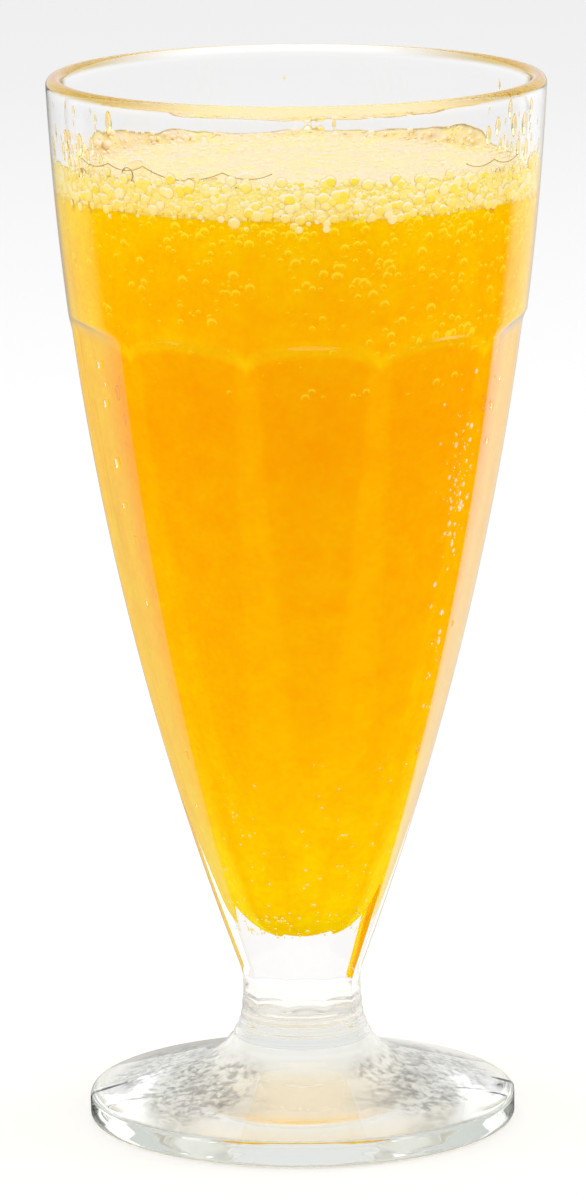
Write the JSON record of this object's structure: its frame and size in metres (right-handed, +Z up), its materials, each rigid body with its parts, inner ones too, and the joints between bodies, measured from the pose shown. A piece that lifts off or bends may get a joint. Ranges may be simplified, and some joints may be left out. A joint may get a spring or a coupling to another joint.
{
  "type": "glass of orange soda",
  "caption": "Tall footed soda glass with pressed panels, filled with orange soda under a layer of pale froth.",
  "frame": {"origin": "on the glass's axis, at the surface that its foot stands on", "axes": "+Z up along the glass's axis; a pressed panel faces -Y"},
  "size_m": [0.084, 0.084, 0.1794],
  "materials": {
    "clear_glass": "clear pressed glass, fire polished",
    "orange_drink": "cloudy orange soda, glossy where wet",
    "froth": "fine pale yellow froth with large bubbles at the wall"
  },
  "bodies": {
    "root": {"glass": "clear_glass", "orange_drink": "orange_drink", "froth": "froth"}
  },
  "joints": []
}
